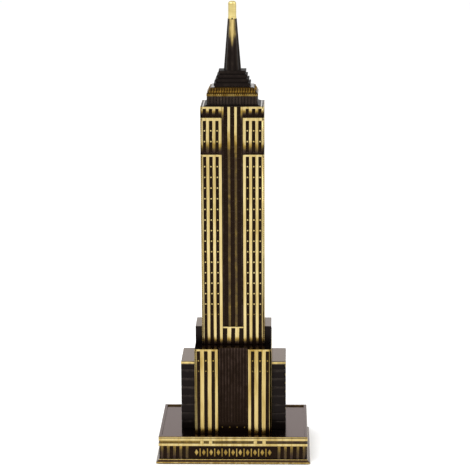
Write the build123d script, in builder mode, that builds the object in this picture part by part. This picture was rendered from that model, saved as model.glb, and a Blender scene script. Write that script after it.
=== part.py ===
from build123d import *
import math
import os

# A souvenir skyscraper, cast in parts and stacked on a plinth. All sizes are in millimetres.
# +X is to the tower's right, +Y to its rear and +Z up. The origin is the centre of the felt's underside.

# Fits
fit_gap = 0.1                  # radial or side gap between pieces that locate each other

# Plinth
plinth_width = 58.0            # across its upper bands, along X
plinth_depth = 42.0            # the same along Y
plinth_height = 11.0           # table to the top of the rim
table_gap = 0.4                # casting to table, held off by the felt
foot_height = 1.8
foot_flare = 1.0               # how far the foot stands out beyond the upper bands
foot_edge = 0.5                # upright edge below the foot's slope
foot_slope = 0.7
frieze_height = 5.4
frieze_depth = 0.7
strip_height = 1.0             # plain strip above the frieze
groove_height = 1.15           # groove above the strip
groove_depth = 0.6
rim_width = 1.15
tray_depth = 0.5
deck_thickness = 2.0
skirt_wall = 3.0
rib_width = 1.2                # frieze ribs
rib_pitch = 2.45
rib_count = 5                  # at each end of a face
rib_relief = 0.5
ornament_pitch = 2.85          # lozenges and bars in the middle of the frieze
ornament_height = 3.3
lozenge_width = 1.8
bar_width = 0.45
ornament_relief = 0.45
tab_width = 1.3                # small blocks across the groove
tab_spread = 3.4               # between the two blocks of a pair
boss_radius = 3.6
boss_drop = 2.0
stiffener_share = 1 / 3        # stiffeners stand this share of the width or depth off the centre
stiffener_width = 1.5
stiffener_drop = 3.0

# Underside
base_plate_thickness = 0.8
felt_thickness = 1.0
rebate_wall = 2.3              # foot left outside the rebate

# Podium
pavilion_spread = 29.9         # outer face to outer face
pavilion_width = 9.1
podium_depth = 32.4
podium_height = 34.4           # tray to roof
entrance_recess = 2.6
casting_wall = 2.0
entrance_height = 4.0
entrance_flute_count = 9
entrance_flute_width = 0.5
entrance_flute_depth = 0.3
entrance_stud_count = 4
entrance_stud_radius = 0.35

# Wings
wing_width = 5.6
wing_depth = 19.8
wing_height = 27.7
wing_wall = 1.6                # outer wall beside the pocket
wing_course_count = 7
wing_course_height = 0.35
wing_course_depth = 0.25

# Terraces
terrace_width = 2.65
terrace_depth = 13.6
terrace_height = 6.8

# Shaft
shaft_width = 24.4
shaft_depth = 18.4
shaft_height = 93.75
shaft_wall = 1.8
shaft_roof = 2.0
recess_width = 8.1             # central recess of the front and the rear
recess_depth = 0.9
middle_block_height = 14.2
top_block_height = 4.25
block_step = 0.25              # each block stands this much proud of the one above
bay_block_height = 7.2
bay_relief = 0.45
bay_pilaster_width = 1.7
bay_pilaster_spread = 2.9
pilaster_width = 1.1           # two slim pilasters in the recess
pilaster_spread = 2.6
pilaster_relief = 0.4
edge_strip_width = 0.85        # strips along both sides of the recess

# Windows
window_width = 1.15
window_height = 3.45
window_depth = 0.5
floor_pitch = 4.18
shaft_bay_pitch = 2.43
flank_bay_pitch = 2.8
shaft_border = 1.0             # outer corner to the first window
podium_bay_pitch = 2.9
podium_border = 0.95
top_border = 0.8               # edge of a block to its first row
middle_top_border = 1.15       # the same on the shaft's middle block

# Crown
skirt_width = 22.0
skirt_depth = 16.0
skirt_height = 0.6
drum_width = 19.5
drum_depth = 14.2
drum_height = 3.25
drum_flute_pitch = 1.2
drum_flute_width = 0.35
drum_flute_depth = 0.2
band_height = 3.15
band_overhang = 0.1
band_slope_height = 2.1
band_slope = 1.6
step_count = 4
step_height = 1.53
step_width = 14.1              # the lowest step
step_depth = 10.9
step_setback = 0.59

# Mast
mast_base_radius = 3.5
mast_top_radius = 1.8
mast_height = 19.55
mast_flute_count = 10
mast_flute_radius = 0.4
mast_flute_depth = 0.22
tip_radius = 1.62
tip_height = 6.68
tip_rounding = 1.0
tip_socket_depth = 4.0
tip_spigot_radius = 1.0
tip_pin_radius = 0.38          # cross pin half in the mast, half in the tip

# Fasteners
rod_radius = 1.5
rod_grip = 11.0                # rod inside the mast
rod_end = 0.75                 # rod left below the nut
nut_across_flats = 5.5
nut_height = 2.4
washer_radius = 3.5
washer_thickness = 0.5
screw_radius = 1.5
screw_head_radius = 2.8
screw_head_height = 2.0
screw_grip = 8.0               # thread inside the podium
screw_inset_x = 3.45           # screws in from the walls of the podium's cavity
screw_inset_y = 2.1
cross_slot_width = 0.7
cross_slot_length = 3.2
cross_slot_depth = 1.0
post_radius = 3.2
post_web = 2.0
pin_radius = 1.0               # locating pins
pin_grip = 3.0                 # pin inside each half
pin_boss = 5.0
podium_pin_shares = (0.25, 0.8)      # pin levels as shares of the podium's height
shaft_pin_shares = (0.2, 0.5, 0.8)   # the same for the shaft
wing_pin_grip = 1.6
wing_pin_spread = 10.0
wing_pin_web = 0.5             # metal left between a wing's pin holes and its pocket

# Levels, from the table up
base_plate_bottom = felt_thickness
rebate_top = base_plate_bottom + base_plate_thickness
foot_top = foot_height
frieze_top = foot_top + frieze_height
strip_top = frieze_top + strip_height
groove_top = strip_top + groove_height
tray_level = plinth_height - tray_depth
deck_bottom = tray_level - deck_thickness
boss_bottom = deck_bottom - boss_drop
podium_top = tray_level + podium_height
shaft_top = podium_top + shaft_height
middle_block_top = shaft_top - top_block_height
lower_block_top = middle_block_top - middle_block_height
drum_bottom = shaft_top + skirt_height
band_bottom = drum_bottom + drum_height
steps_bottom = band_bottom + band_height
mast_bottom = steps_bottom + step_count * step_height
mast_top = mast_bottom + mast_height
tip_top = mast_top + tip_height

# Places worked out from the sizes
pavilion_centre = (pavilion_spread - pavilion_width) / 2
entrance_width = pavilion_spread - 2 * pavilion_width
rebate_width = plinth_width + 2 * foot_flare - 2 * rebate_wall
rebate_depth = plinth_depth + 2 * foot_flare - 2 * rebate_wall
screw_x = pavilion_spread / 2 - casting_wall - screw_inset_x
screw_y = podium_depth / 2 - entrance_recess - casting_wall - screw_inset_y
screw_places = [(x, y) for x in (-screw_x, screw_x) for y in (-screw_y, screw_y)]
stiffener_x = plinth_width * stiffener_share
stiffener_y = plinth_depth * stiffener_share
wing_pocket_width = wing_width - wing_wall - wing_pin_grip - fit_gap - wing_pin_web
podium_pin_x = pavilion_spread / 2 - casting_wall - pin_boss / 2
shaft_pin_x = shaft_width / 2 - shaft_wall - pin_boss / 2
podium_pin_levels = [tray_level + podium_height * share for share in podium_pin_shares]
shaft_pin_levels = [podium_top + shaft_height * share for share in shaft_pin_shares]
wing_pin_level = tray_level + wing_height / 2


def face_plane(turn, distance):
    """The upright plane at a distance from the centre, facing the front when turn is 0."""
    axis_x = Vector(1, 0, 0).rotate(Axis.Z, turn)
    outward = Vector(0, -1, 0).rotate(Axis.Z, turn)
    return Plane(origin=outward * distance, x_dir=axis_x, z_dir=outward)


def evenly(count, pitch):
    """Places of a centred row."""
    return [(i - (count - 1) / 2) * pitch for i in range(count)]


def fitting(length, pitch):
    """How many windows at a pitch fit in a length."""
    return int((length + pitch - window_width) / pitch)


def rows_between(bottom, top, border=top_border):
    """Window centres from the top edge of a block down to its foot."""
    first = top - border - window_height / 2
    count = int((top - border - bottom) / floor_pitch)
    return [first - i * floor_pitch for i in range(count)]


def cut_windows(plane, columns, rows):
    """Sink a grid of windows into the active part."""
    with BuildSketch(plane) as openings:
        with Locations(*[(x, z) for x in columns for z in rows]):
            Rectangle(window_width, window_height)
    extrude(openings.sketch, amount=-window_depth, mode=Mode.SUBTRACT)


def raise_strips(plane, centres, width, bottom, top, relief):
    """Add upright strips to a face of the active part."""
    with BuildSketch(plane) as strips:
        with Locations(*[(x, (bottom + top) / 2) for x in centres]):
            Rectangle(width, top - bottom)
    extrude(strips.sketch, amount=relief)


def cut_strips(plane, centres, width, bottom, top, depth):
    """Cut upright channels into a face of the active part."""
    with BuildSketch(plane) as channels:
        with Locations(*[(x, (bottom + top) / 2) for x in centres]):
            Rectangle(width, top - bottom)
    extrude(channels.sketch, amount=-depth, mode=Mode.SUBTRACT)


def block(width, depth, bottom, top, x=0, y=0, mode=Mode.ADD):
    """An upright block between two levels of the active part."""
    with BuildSketch(Plane.XY.offset(bottom)) as plan:
        with Locations((x, y)):
            Rectangle(width, depth)
    extrude(plan.sketch, amount=top - bottom, mode=mode)


def upright_cylinder(radius, bottom, top, places=((0, 0),), mode=Mode.ADD):
    """Upright cylinders between two levels of the active part."""
    with BuildSketch(Plane.XY.offset(bottom)) as plan:
        with Locations(*places):
            Circle(radius)
    extrude(plan.sketch, amount=top - bottom, mode=mode)


def mirrored_columns(inner_edge, outer_edge, border, pitch):
    """Window columns of the two bays beside a recess, counted in from their outer corners."""
    outermost = outer_edge - border - window_width / 2
    count = fitting(outer_edge - border - inner_edge, pitch)
    columns = [outermost - i * pitch for i in range(count)]
    return columns + [-x for x in columns]


def four_faces(width, depth):
    """Turn, length and distance from the centre of a block's front, right, rear and left faces."""
    return [(0, width, depth / 2), (90, depth, width / 2), (180, width, depth / 2), (270, depth, width / 2)]


def save(piece, name):
    piece.label = name
    export_step(piece, f"parts/{name}.step")


os.makedirs("parts", exist_ok=True)

# Felt and the sheet steel plate that close the underside
with BuildPart() as felt_pad:
    block(rebate_width - 2 * fit_gap, rebate_depth - 2 * fit_gap, 0, felt_thickness)
save(felt_pad.part, "felt_pad")

with BuildPart() as base_plate:
    block(rebate_width - 2 * fit_gap, rebate_depth - 2 * fit_gap, base_plate_bottom, rebate_top)
save(base_plate.part, "base_plate")

# Plinth: a hollow casting with a shallow tray on top and a banded front
with BuildPart() as plinth:
    foot_width = plinth_width + 2 * foot_flare
    foot_depth = plinth_depth + 2 * foot_flare
    block(plinth_width, plinth_depth, table_gap, plinth_height)
    block(foot_width, foot_depth, table_gap, table_gap + foot_edge)
    with BuildSketch(Plane.XY.offset(table_gap + foot_edge)):
        Rectangle(foot_width, foot_depth)
    with BuildSketch(Plane.XY.offset(table_gap + foot_edge + foot_slope)):
        Rectangle(plinth_width, plinth_depth)
    loft()
    with BuildSketch(Plane.XY.offset(foot_top)):
        Rectangle(plinth_width, plinth_depth)
        Rectangle(plinth_width - 2 * frieze_depth, plinth_depth - 2 * frieze_depth, mode=Mode.SUBTRACT)
    extrude(amount=frieze_height, mode=Mode.SUBTRACT)
    with BuildSketch(Plane.XY.offset(strip_top)):
        Rectangle(plinth_width, plinth_depth)
        Rectangle(plinth_width - 2 * groove_depth, plinth_depth - 2 * groove_depth, mode=Mode.SUBTRACT)
    extrude(amount=groove_height, mode=Mode.SUBTRACT)
    block(plinth_width - 2 * rim_width, plinth_depth - 2 * rim_width,
          tray_level, plinth_height, mode=Mode.SUBTRACT)
    block(plinth_width - 2 * skirt_wall, plinth_depth - 2 * skirt_wall,
          table_gap, deck_bottom, mode=Mode.SUBTRACT)
    block(rebate_width, rebate_depth, table_gap, rebate_top, mode=Mode.SUBTRACT)
    upright_cylinder(boss_radius, boss_bottom, deck_bottom, screw_places + [(0, 0)])
    for y in (-stiffener_y, stiffener_y):
        block(plinth_width - 2 * skirt_wall, stiffener_width, deck_bottom - stiffener_drop, deck_bottom, y=y)
    for x in (-stiffener_x, stiffener_x):
        block(stiffener_width, plinth_depth - 2 * skirt_wall, deck_bottom - stiffener_drop, deck_bottom, x=x)
    upright_cylinder(screw_radius + fit_gap, boss_bottom, tray_level, screw_places, mode=Mode.SUBTRACT)
    upright_cylinder(rod_radius + fit_gap, boss_bottom, tray_level, mode=Mode.SUBTRACT)
    for turn, length, distance in four_faces(plinth_width, plinth_depth):
        end = length / 2 - frieze_depth - rib_width / 2
        ribs = [end - i * rib_pitch for i in range(rib_count)]
        frieze_face = face_plane(turn, distance - frieze_depth)
        raise_strips(frieze_face, ribs + [-x for x in ribs], rib_width, foot_top, frieze_top, rib_relief)
        middle = (foot_top + frieze_top) / 2
        free_length = 2 * (ribs[-1] - rib_width) - lozenge_width
        lozenges = evenly(1 + 2 * int(free_length / ornament_pitch / 2), ornament_pitch)
        bars = evenly(len(lozenges) - 1, ornament_pitch)
        with BuildSketch(frieze_face):
            with Locations(*[(x, middle) for x in lozenges]):
                Polygon((lozenge_width / 2, 0), (0, ornament_height / 2),
                        (-lozenge_width / 2, 0), (0, -ornament_height / 2))
            with Locations(*[(x, middle) for x in bars]):
                Rectangle(bar_width, ornament_height)
        extrude(amount=ornament_relief)
    for turn in (0, 180):
        tabs = [side * pavilion_centre + shift for side in (-1, 1)
                for shift in (-tab_spread / 2, tab_spread / 2)]
        raise_strips(face_plane(turn, plinth_depth / 2 - groove_depth), tabs,
                     tab_width, strip_top, groove_top, groove_depth)
save(plinth.part, "plinth")

# Podium: two castings that meet at the middle, each with two pavilions and a recessed entrance
with BuildPart() as podium_front:
    half_depth = podium_depth / 2
    cavity_width = pavilion_spread - 2 * casting_wall
    block(pavilion_spread, half_depth, tray_level, podium_top, y=-half_depth / 2)
    entrance_face_y = half_depth - entrance_recess
    block(entrance_width, entrance_recess, tray_level, podium_top,
          y=-half_depth + entrance_recess / 2, mode=Mode.SUBTRACT)
    cavity_depth = entrance_face_y - casting_wall
    block(cavity_width, cavity_depth, tray_level, podium_top - casting_wall,
          y=-cavity_depth / 2, mode=Mode.SUBTRACT)
    spigot_width = shaft_width - 2 * shaft_wall - 2 * fit_gap
    spigot_depth = shaft_depth / 2 - shaft_wall - fit_gap
    block(spigot_width, spigot_depth, podium_top, podium_top + casting_wall, y=-spigot_depth / 2)
    for x, y in screw_places[::2]:
        reach_x = math.copysign(cavity_width / 2, x) - x
        post_top = tray_level + screw_grip + casting_wall
        upright_cylinder(post_radius, tray_level, post_top, [(x, y)])
        block(abs(reach_x), post_web, tray_level, post_top, x=x + reach_x / 2, y=y)
        upright_cylinder(screw_radius + fit_gap / 2, tray_level, tray_level + screw_grip + fit_gap,
                         [(x, y)], mode=Mode.SUBTRACT)
    for level in podium_pin_levels:
        for x in (-podium_pin_x, podium_pin_x):
            block(pin_boss, pin_grip + casting_wall, level - pin_boss / 2, level + pin_boss / 2,
                  x=x, y=-(pin_grip + casting_wall) / 2)
    with BuildSketch(Plane.XZ):
        with Locations(*[(x, z) for x in (-podium_pin_x, podium_pin_x) for z in podium_pin_levels]):
            Circle(pin_radius)
    extrude(amount=pin_grip + fit_gap, mode=Mode.SUBTRACT)
    for turn in (90, 270):
        with BuildSketch(face_plane(turn, pavilion_spread / 2)):
            with Locations((math.copysign(wing_pin_spread / 2, turn - 180), wing_pin_level)):
                Circle(pin_radius)
        extrude(amount=-wing_pin_grip - fit_gap, mode=Mode.SUBTRACT)
    upright_cylinder(rod_radius + fit_gap, podium_top - casting_wall, podium_top + casting_wall,
                     mode=Mode.SUBTRACT)
    podium_columns = mirrored_columns(entrance_width / 2, pavilion_spread / 2,
                                      podium_border, podium_bay_pitch)
    cut_windows(face_plane(0, half_depth), podium_columns, rows_between(tray_level, podium_top))
    entrance_face = face_plane(0, entrance_face_y)
    flute_pitch = entrance_width / (entrance_flute_count + 1)
    cut_strips(entrance_face, evenly(entrance_flute_count, flute_pitch), entrance_flute_width,
               tray_level + entrance_height, podium_top - top_border, entrance_flute_depth)
    with BuildSketch(entrance_face):
        stud_pitch = entrance_width / entrance_stud_count
        with Locations(*[(x, tray_level + entrance_height / 2)
                         for x in evenly(entrance_stud_count, stud_pitch)]):
            Circle(entrance_stud_radius)
    extrude(amount=entrance_stud_radius)
save(podium_front.part, "podium_front")

with BuildPart() as podium_rear:
    mirror(podium_front.part, about=Plane.XZ)
save(podium_rear.part, "podium_rear")

with BuildPart() as podium_pins:
    with BuildSketch(Plane.XZ.offset(-pin_grip)):
        with Locations(*[(x, z) for x in (-podium_pin_x, podium_pin_x) for z in podium_pin_levels]):
            Circle(pin_radius - fit_gap / 2)
    extrude(amount=2 * pin_grip)
save(podium_pins.part, "podium_pins")

# Wings: low blocks on the podium's flanks, cored from below
with BuildPart() as wing_right:
    wing_x = (pavilion_spread + wing_width) / 2
    wing_top = tray_level + wing_height
    block(wing_width, wing_depth, tray_level, wing_top, x=wing_x)
    block(wing_pocket_width, wing_depth - 2 * casting_wall, tray_level, wing_top - casting_wall,
          x=wing_x + (wing_width - wing_pocket_width) / 2 - wing_wall, mode=Mode.SUBTRACT)
    with BuildSketch(Plane.YZ.offset(pavilion_spread / 2)):
        with Locations((-wing_pin_spread / 2, wing_pin_level), (wing_pin_spread / 2, wing_pin_level)):
            Circle(pin_radius)
    extrude(amount=wing_pin_grip + fit_gap, mode=Mode.SUBTRACT)
    course_pitch = wing_height / (wing_course_count + 1)
    for i in range(wing_course_count):
        level = tray_level + (i + 1) * course_pitch
        with BuildSketch(Plane.XY.offset(level)):
            with Locations((wing_x, 0)):
                Rectangle(wing_width, wing_depth)
                Rectangle(wing_width, wing_depth - 2 * wing_course_depth, mode=Mode.SUBTRACT)
        extrude(amount=wing_course_height, mode=Mode.SUBTRACT)
        outer_x = pavilion_spread / 2 + wing_width - wing_course_depth / 2
        block(wing_course_depth, wing_depth, level, level + wing_course_height, x=outer_x,
              mode=Mode.SUBTRACT)
save(wing_right.part, "wing_right")

with BuildPart() as wing_left:
    mirror(wing_right.part, about=Plane.YZ)
save(wing_left.part, "wing_left")

with BuildPart() as wing_pins:
    for side in (-1, 1):
        with BuildSketch(Plane.YZ.offset(side * pavilion_spread / 2 - wing_pin_grip)):
            with Locations((-wing_pin_spread / 2, wing_pin_level), (wing_pin_spread / 2, wing_pin_level)):
                Circle(pin_radius - fit_gap / 2)
        extrude(amount=2 * wing_pin_grip)
save(wing_pins.part, "wing_pins")

# Terraces: small blocks against the shaft's flanks, on the podium's roof
with BuildPart() as terrace_right:
    block(terrace_width, terrace_depth, podium_top, podium_top + terrace_height,
          x=(shaft_width + terrace_width) / 2)
save(terrace_right.part, "terrace_right")

with BuildPart() as terrace_left:
    mirror(terrace_right.part, about=Plane.YZ)
save(terrace_left.part, "terrace_left")

# Shaft: two castings that meet at the middle of the flanks
with BuildPart() as shaft_front:
    half_depth = shaft_depth / 2
    block(shaft_width, half_depth, podium_top, shaft_top, y=-half_depth / 2)
    cavity_width = shaft_width - 2 * shaft_wall
    cavity_depth = half_depth - shaft_wall
    block(cavity_width, cavity_depth, podium_top, shaft_top - shaft_roof, y=-cavity_depth / 2,
          mode=Mode.SUBTRACT)
    for level in shaft_pin_levels:
        for x in (-shaft_pin_x, shaft_pin_x):
            block(pin_boss, pin_grip + shaft_wall, level - pin_boss / 2, level + pin_boss / 2,
                  x=x, y=-(pin_grip + shaft_wall) / 2)
    with BuildSketch(Plane.XZ):
        with Locations(*[(x, z) for x in (-shaft_pin_x, shaft_pin_x) for z in shaft_pin_levels]):
            Circle(pin_radius)
    extrude(amount=pin_grip + fit_gap, mode=Mode.SUBTRACT)
    upright_cylinder(rod_radius + fit_gap, shaft_top - shaft_roof, shaft_top, mode=Mode.SUBTRACT)
    for bottom, inset in ((lower_block_top, block_step), (middle_block_top, 2 * block_step)):
        block(shaft_width, inset, bottom, shaft_top, y=-half_depth + inset / 2, mode=Mode.SUBTRACT)
    recess_y = half_depth - recess_depth
    block(recess_width, recess_depth, podium_top, shaft_top, y=-half_depth + recess_depth / 2,
          mode=Mode.SUBTRACT)
    recess_face = face_plane(0, recess_y)
    raise_strips(recess_face, evenly(2, pilaster_spread), pilaster_width,
                 podium_top, shaft_top, pilaster_relief)
    raise_strips(recess_face, evenly(2, recess_width - edge_strip_width), edge_strip_width,
                 podium_top, shaft_top, pilaster_relief)
    raise_strips(recess_face, [0], recess_width, podium_top, podium_top + bay_block_height,
                 pilaster_relief)
    raise_strips(face_plane(0, recess_y + pilaster_relief), evenly(2, bay_pilaster_spread),
                 bay_pilaster_width, podium_top, podium_top + bay_block_height, bay_relief)
    columns = mirrored_columns(recess_width / 2, shaft_width / 2, shaft_border, shaft_bay_pitch)
    lower_rows = rows_between(podium_top, lower_block_top)
    middle_rows = rows_between(lower_block_top, middle_block_top, middle_top_border)
    cut_windows(face_plane(0, half_depth), columns, lower_rows)
    cut_windows(face_plane(0, half_depth - block_step), columns, middle_rows)
    side_columns = fitting(shaft_depth - 2 * shaft_border, flank_bay_pitch)
    flank_columns = [y for y in evenly(side_columns, flank_bay_pitch) if y > window_width / 2]
    for turn in (90, 270):
        forward = math.copysign(1, turn - 180)
        places = [forward * y for y in flank_columns]
        flank = face_plane(turn, shaft_width / 2)
        cut_windows(flank, places, lower_rows)
        cut_windows(flank, places, middle_rows)
save(shaft_front.part, "shaft_front")

with BuildPart() as shaft_rear:
    mirror(shaft_front.part, about=Plane.XZ)
save(shaft_rear.part, "shaft_rear")

with BuildPart() as shaft_pins:
    with BuildSketch(Plane.XZ.offset(-pin_grip)):
        with Locations(*[(x, z) for x in (-shaft_pin_x, shaft_pin_x) for z in shaft_pin_levels]):
            Circle(pin_radius - fit_gap / 2)
    extrude(amount=2 * pin_grip)
save(shaft_pins.part, "shaft_pins")

# Crown: a skirted drum, an embossed band and a stepped cap, all threaded on the rod
with BuildPart() as crown_drum:
    with BuildSketch(Plane.XY.offset(shaft_top)):
        Rectangle(skirt_width, skirt_depth)
    with BuildSketch(Plane.XY.offset(drum_bottom)):
        Rectangle(drum_width, drum_depth)
    loft()
    block(drum_width, drum_depth, drum_bottom, band_bottom)
    for turn, length, distance in four_faces(drum_width, drum_depth):
        flute_count = int(length / drum_flute_pitch) - 1
        cut_strips(face_plane(turn, distance), evenly(flute_count, drum_flute_pitch),
                   drum_flute_width, drum_bottom, band_bottom, drum_flute_depth)
    upright_cylinder(rod_radius + fit_gap, shaft_top, band_bottom, mode=Mode.SUBTRACT)
save(crown_drum.part, "crown_drum")

with BuildPart() as crown_band:
    band_width = drum_width + 2 * band_overhang
    band_depth = drum_depth + 2 * band_overhang
    slope_bottom = steps_bottom - band_slope_height
    block(band_width, band_depth, band_bottom, slope_bottom)
    with BuildSketch(Plane.XY.offset(slope_bottom)):
        Rectangle(band_width, band_depth)
    with BuildSketch(Plane.XY.offset(steps_bottom)):
        Rectangle(band_width - 2 * band_slope, band_depth - 2 * band_slope)
    loft()
    upright_cylinder(rod_radius + fit_gap, band_bottom, steps_bottom, mode=Mode.SUBTRACT)
save(crown_band.part, "crown_band")

with BuildPart() as crown_steps:
    for i in range(step_count):
        level = steps_bottom + i * step_height
        block(step_width - 2 * i * step_setback, step_depth - 2 * i * step_setback,
              level, level + step_height)
    upright_cylinder(rod_radius + fit_gap, steps_bottom, mast_bottom, mode=Mode.SUBTRACT)
save(crown_steps.part, "crown_steps")

# Mast: a fluted cone screwed on the rod, with a socket for the tip
with BuildPart() as mast_flute:
    flute_inset = mast_flute_radius - mast_flute_depth
    with BuildSketch(Plane.XY.offset(mast_bottom)):
        with Locations((0, -mast_base_radius - flute_inset)):
            Circle(mast_flute_radius)
    with BuildSketch(Plane.XY.offset(mast_top)):
        with Locations((0, -mast_top_radius - flute_inset)):
            Circle(mast_flute_radius)
    loft()

with BuildPart() as mast:
    with BuildSketch(Plane.XZ):
        with BuildLine():
            Polyline((0, mast_bottom), (mast_base_radius, mast_bottom),
                     (mast_top_radius, mast_top), (0, mast_top), close=True)
        make_face()
    revolve(axis=Axis.Z)
    with PolarLocations(0, mast_flute_count, start_angle=180 / mast_flute_count):
        add(mast_flute.part, mode=Mode.SUBTRACT)
    upright_cylinder(rod_radius + fit_gap / 2, mast_bottom, mast_bottom + rod_grip + fit_gap,
                     mode=Mode.SUBTRACT)
    upright_cylinder(tip_spigot_radius + fit_gap / 2, mast_top - tip_socket_depth, mast_top,
                     mode=Mode.SUBTRACT)
    with BuildSketch(Plane.XZ.offset(-mast_base_radius)):
        with Locations((0, mast_top)):
            Circle(tip_pin_radius)
    extrude(amount=2 * mast_base_radius, mode=Mode.SUBTRACT)
save(mast.part, "mast")

with BuildPart() as mast_tip:
    upright_cylinder(tip_radius, mast_top, tip_top)
    fillet(mast_tip.edges().sort_by(Axis.Z)[-1], radius=tip_rounding)
    upright_cylinder(tip_spigot_radius, mast_top - tip_socket_depth + fit_gap, mast_top)
    with BuildSketch(Plane.XZ.offset(-tip_radius)):
        with Locations((0, mast_top)):
            Circle(tip_pin_radius)
    extrude(amount=2 * tip_radius, mode=Mode.SUBTRACT)
save(mast_tip.part, "mast_tip")

with BuildPart() as tip_pin:
    pin_length = 2 * mast_top_radius
    with BuildSketch(Plane.XZ.offset(-pin_length / 2)):
        with Locations((0, mast_top)):
            Circle(tip_pin_radius - fit_gap / 2)
    extrude(amount=pin_length)
save(tip_pin.part, "tip_pin")

# Rod, washer and nut that clamp the whole stack to the plinth
with BuildPart() as tie_rod:
    rod_bottom = boss_bottom - washer_thickness - nut_height - rod_end
    upright_cylinder(rod_radius, rod_bottom, mast_bottom + rod_grip)
save(tie_rod.part, "tie_rod")

with BuildPart() as rod_washer:
    upright_cylinder(washer_radius, boss_bottom - washer_thickness, boss_bottom)
    upright_cylinder(rod_radius + fit_gap, boss_bottom - washer_thickness, boss_bottom, mode=Mode.SUBTRACT)
save(rod_washer.part, "rod_washer")

with BuildPart() as rod_nut:
    nut_bottom = boss_bottom - washer_thickness - nut_height
    with BuildSketch(Plane.XY.offset(nut_bottom)):
        RegularPolygon(nut_across_flats / 2, 6, major_radius=False)
        Circle(rod_radius + fit_gap / 2, mode=Mode.SUBTRACT)
    extrude(amount=nut_height)
save(rod_nut.part, "rod_nut")

# Four screws that hold the podium castings to the plinth
with BuildPart() as plinth_screws:
    head_bottom = boss_bottom - screw_head_height
    upright_cylinder(screw_head_radius, head_bottom, boss_bottom, screw_places)
    upright_cylinder(screw_radius, boss_bottom, tray_level + screw_grip, screw_places)
    with BuildSketch(Plane.XY.offset(head_bottom)):
        with Locations(*screw_places):
            Rectangle(cross_slot_length, cross_slot_width)
            Rectangle(cross_slot_width, cross_slot_length)
    extrude(amount=cross_slot_depth, mode=Mode.SUBTRACT)
save(plinth_screws.part, "plinth_screws")
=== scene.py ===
import math

import bpy
from mathutils import Matrix, Quaternion, Vector


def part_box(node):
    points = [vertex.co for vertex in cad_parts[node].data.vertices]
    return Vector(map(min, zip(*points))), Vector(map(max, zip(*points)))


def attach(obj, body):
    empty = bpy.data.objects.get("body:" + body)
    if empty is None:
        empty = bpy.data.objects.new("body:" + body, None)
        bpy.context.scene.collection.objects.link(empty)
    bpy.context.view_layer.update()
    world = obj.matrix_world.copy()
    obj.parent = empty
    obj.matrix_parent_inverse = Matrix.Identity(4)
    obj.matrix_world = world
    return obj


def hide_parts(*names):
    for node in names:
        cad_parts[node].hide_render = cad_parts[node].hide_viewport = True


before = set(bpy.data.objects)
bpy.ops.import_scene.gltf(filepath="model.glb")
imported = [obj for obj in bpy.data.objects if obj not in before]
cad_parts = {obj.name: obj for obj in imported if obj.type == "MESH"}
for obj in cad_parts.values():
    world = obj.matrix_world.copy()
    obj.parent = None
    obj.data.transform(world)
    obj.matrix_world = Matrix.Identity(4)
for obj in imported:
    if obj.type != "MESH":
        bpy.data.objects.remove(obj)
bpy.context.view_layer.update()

# Everything is modelled in millimetres and brought to metres as each piece is finished.
MM = 0.001
BODY = "root"


def corners(node):
    """Lowest and highest corner of a CAD node, in millimetres."""
    return tuple(Vector(corner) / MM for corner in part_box(node))


# ---------------------------------------------------------------- sizes, in millimetres

plinth_low, plinth_high = corners("plinth")
podium_low, podium_high = corners("podium_front")
wing_low, wing_high = corners("wing_right")
terrace_low, terrace_high = corners("terrace_right")
shaft_low, shaft_high = corners("shaft_front")
drum_low, drum_high = corners("crown_drum")
band_low, band_high = corners("crown_band")
steps_low, steps_high = corners("crown_steps")
mast_low, mast_high = corners("mast")
tip_high = corners("mast_tip")[1]
felt_high = corners("felt_pad")[1]
plate_high = corners("base_plate")[1]

TRAY = podium_low.z
PODIUM_TOP = shaft_low.z
SHAFT_TOP = shaft_high.z
WINDOW_WIDTH = 1.15
WINDOW_HEIGHT = 3.45
WINDOW_DEPTH = 0.5
FLOOR_PITCH = 4.18
LINTEL = 0.8                   # plain edge above the first row of a block
MIDDLE_LINTEL = 1.15           # the same on the shaft's middle block
ROOT = 0.25                    # how far relief is rooted in the casting behind it

FOOT_EDGE = 0.5                # upright edge of the foot, below its slope
FOOT_SLOPE = 0.7
FOOT_TOP = 1.8
FRIEZE_TOP = 7.2
STRIP_TOP = 8.2
GROOVE_TOP = 9.35
FOOT_FLARE = 1.0
FRIEZE_DEPTH = 0.7
GROOVE_DEPTH = 0.6
GROOVE_BRIGHTNESS = (0.62, 0.3)     # how light the groove is at its left and right ends
RIM_WIDTH = 1.15
RIM_EASE = 0.22                # softened outer edge of the rim
RIM_LINE = 0.15                # depth of the fine line cut round it
SKIRT_WALL = 3.0
DECK = 2.0
FELT_GAP = 0.1
RIB_WIDTH = 1.2
RIB_PITCH = 2.45
RIB_COUNT = 5
RIB_RELIEF = 0.5
ORNAMENT_PITCH = 2.85
ORNAMENT_HEIGHT = 3.3
ORNAMENT_RELIEF = 0.45
LOZENGE_WIDTH = 1.8
BAR_WIDTH = 0.45
TAB_WIDTH = 1.3
TAB_SPREAD = 3.4

PAVILION_WIDTH = 9.1
PODIUM_BAY = 2.9
PODIUM_BORDER = 0.95
ENTRANCE_RECESS = 2.6
ENTRANCE_HEIGHT = 4.0
ENTRANCE_RIBS = 10

SHAFT_BAY = 2.43
SHAFT_BORDER = 1.0
FLANK_BAY = 2.8
RECESS_HALF = 4.05
RECESS_DEPTH = 0.9
MIDDLE_BLOCK = 14.2
TOP_BLOCK = 4.25
BLOCK_STEP = 0.25
BAY_BLOCK = 7.2                # low block at the recess's foot, with two broad bars on a panel
BAY_PANEL = 0.4
BAY_LINTEL = 0.6
BAY_BAR_WIDTH = 1.75
BAY_BAR_SPREAD = 3.1
BAY_BAR_RELIEF = 0.45
SLIM_WIDTH = 1.1
SLIM_SPREAD = 2.6
SLIM_RELIEF = 0.4
EDGE_STRIP = 0.85
TOOTH_PITCH = 0.86
TOOTH_RELIEF = 0.36
SILL_RELIEF = 0.12
SILL_ROWS = 22

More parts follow.
